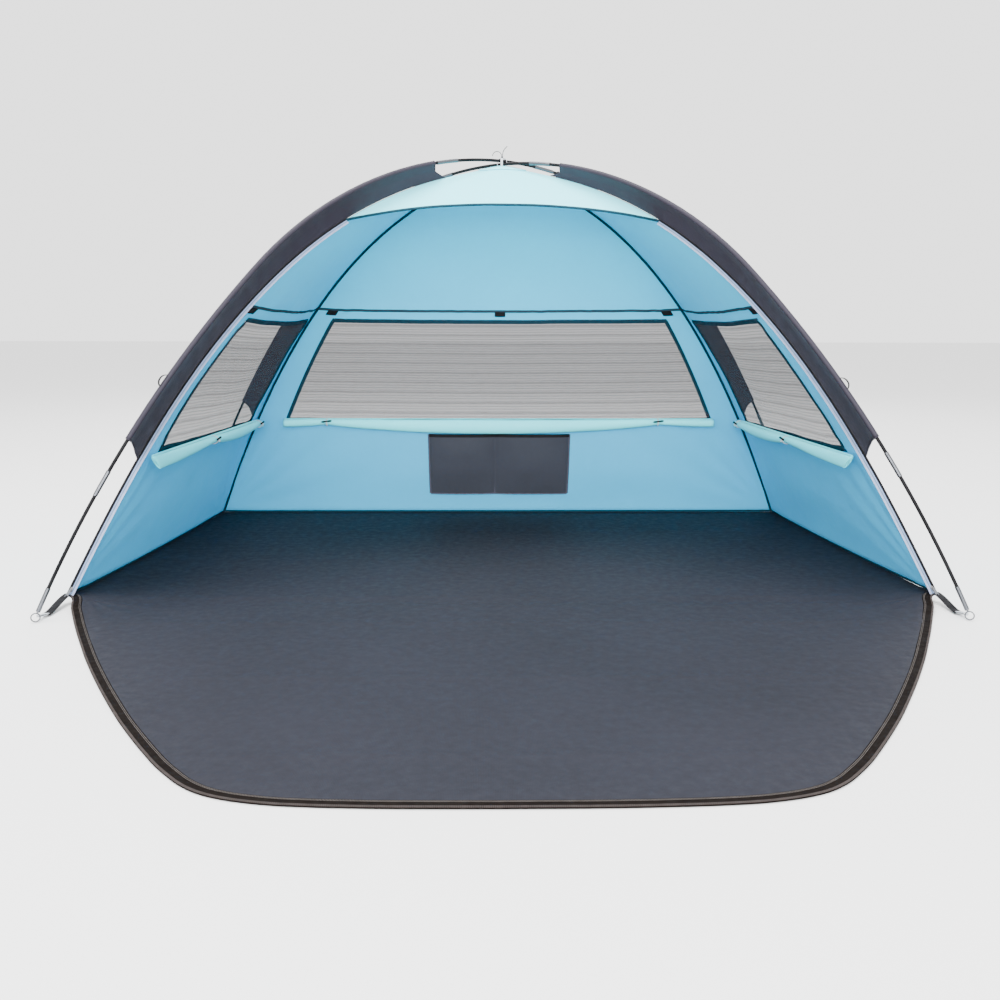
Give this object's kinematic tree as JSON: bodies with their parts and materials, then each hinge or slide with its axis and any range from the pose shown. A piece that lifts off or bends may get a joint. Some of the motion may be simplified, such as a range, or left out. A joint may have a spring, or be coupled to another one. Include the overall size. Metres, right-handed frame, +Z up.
{
  "type": "beach shade tent",
  "caption": "Low shade tent with a curved canopy over two crossing poles, mesh windows with rolled covers, a floor sheet and a zip door that lies flat in front.",
  "frame": {"origin": "on the ground plane, on the underside of the floor sheet, straight below the point where the two poles cross", "axes": "+Z up, +X to the right seen from the front, +Y towards the back wall; the doorway faces -Y"},
  "size_m": [2.2398, 2.3329, 1.1961],
  "materials": {
    "sky_fabric": "woven polyester, light blue, slight sheen",
    "pale_fabric": "woven polyester, silver-coated pale cyan face",
    "roll_fabric": "rolled woven polyester",
    "grey_fabric": "dark grey woven polyester",
    "mesh": "fine light grey netting",
    "ground_sheet": "coated woven polyethylene, dark grey",
    "dark_binding": "dark brown edge tape",
    "zip_tape": "lilac-white zip tape",
    "black_webbing": "black woven webbing",
    "pole_black": "black coated glass fibre",
    "bright_metal": "bright steel",
    "shock_cord": "elastic cord",
    "tie_cord": "thin braided cord, grey",
    "white_tape": "white tape"
  },
  "bodies": {
    "tent": {"back_lower_wall": "sky_fabric", "back_pocket": "grey_fabric", "back_upper_panel": "sky_fabric", "back_window_mesh": "mesh", "back_window_surround": "sky_fabric", "corner_straps": "black_webbing", "crown_patch": "pale_fabric", "crown_tie_band": "white_tape", "crown_tie_cord": "tie_cord", "floor_sheet": "ground_sheet", "guy_out_loops": "black_webbing", "hook_and_loop_tabs": "black_webbing", "left_lower_wall": "sky_fabric", "left_upper_panel": "sky_fabric", "left_window_mesh": "mesh", "left_window_surround": "sky_fabric", "pole_a_crown_section": "pole_black", "pole_a_ferrules": "bright_metal", "pole_a_front_left_leg_section": "pole_black", "pole_a_front_left_sleeved_sections": "pole_black", "pole_a_rear_right_leg_section": "pole_black", "pole_a_rear_right_sleeved_sections": "pole_black", "pole_a_shock_cord": "shock_cord", "pole_b_crown_section": "pole_black", "pole_b_ferrules": "bright_metal", "pole_b_front_right_leg_section": "pole_black", "pole_b_front_right_sleeved_sections": "pole_black", "pole_b_rear_left_leg_section": "pole_black", "pole_b_rear_left_sleeved_sections": "pole_black", "pole_b_shock_cord": "shock_cord", "pole_sleeve_front_left": "grey_fabric", "pole_sleeve_front_right": "grey_fabric", "pole_sleeve_rear_left": "grey_fabric", "pole_sleeve_rear_right": "grey_fabric", "rear_ridge_binding_left": "dark_binding", "rear_ridge_binding_right": "dark_binding", "right_lower_wall": "sky_fabric", "right_upper_panel": "sky_fabric", "right_window_mesh": "mesh", "right_window_surround": "sky_fabric", "ring_pins": "bright_metal", "strap_links": "white_tape", "visor_edge_band": "dark_binding", "visor_panel": "pale_fabric", "zip_tape_left": "zip_tape", "zip_tape_right": "zip_tape"},
    "door": {"door_panel": "ground_sheet", "door_binding": "dark_binding"},
    "slider_left": {"zip_slider_left": "bright_metal"},
    "slider_right": {"zip_slider_right": "bright_metal"},
    "pull_left": {"zip_pull_left": "bright_metal"},
    "pull_right": {"zip_pull_right": "bright_metal"},
    "roll_back": {"back_window_roll": "roll_fabric", "back_roll_toggles": "black_webbing"},
    "roll_left": {"left_window_roll": "roll_fabric", "left_roll_toggles": "black_webbing"},
    "roll_right": {"right_window_roll": "roll_fabric", "right_roll_toggles": "black_webbing"}
  },
  "joints": [
    {"name": "door_hinge", "type": "hinge", "parent": "tent", "child": "door", "pos_m": [0, -0.5505, 0.0026], "axis": [-1, 0, 0], "range_deg": [0, 90]},
    {"name": "slider_left_slide", "type": "slide", "parent": "tent", "child": "slider_left", "axis": [0.4149, 0.2075, 0.8859], "range_m": [0, 0.07]},
    {"name": "slider_right_slide", "type": "slide", "parent": "tent", "child": "slider_right", "axis": [-0.4149, 0.2075, 0.8859], "range_m": [0, 0.07]},
    {"name": "pull_left_hinge", "type": "hinge", "parent": "slider_left", "child": "pull_left", "pos_m": [-1.08946, -0.55124, 0.03839], "axis": [-0.9056, 0, 0.4241], "range_deg": [0, 100]},
    {"name": "pull_right_hinge", "type": "hinge", "parent": "slider_right", "child": "pull_right", "pos_m": [1.08946, -0.55124, 0.03839], "axis": [-0.9056, 0, -0.4241], "range_deg": [0, 100]},
    {"name": "roll_back_hinge", "type": "hinge", "parent": "tent", "child": "roll_back", "pos_m": [0, 0.54031, 0.362], "axis": [-1, 0, 0], "range_deg": [0, 45]},
    {"name": "roll_left_hinge", "type": "hinge", "parent": "tent", "child": "roll_left", "pos_m": [-0.88569, 0.0325, 0.362], "axis": [-0.0624, -0.9981, 0], "range_deg": [0, 45]},
    {"name": "roll_right_hinge", "type": "hinge", "parent": "tent", "child": "roll_right", "pos_m": [0.88569, 0.0325, 0.362], "axis": [-0.0624, 0.9981, 0], "range_deg": [0, 45]}
  ]
}
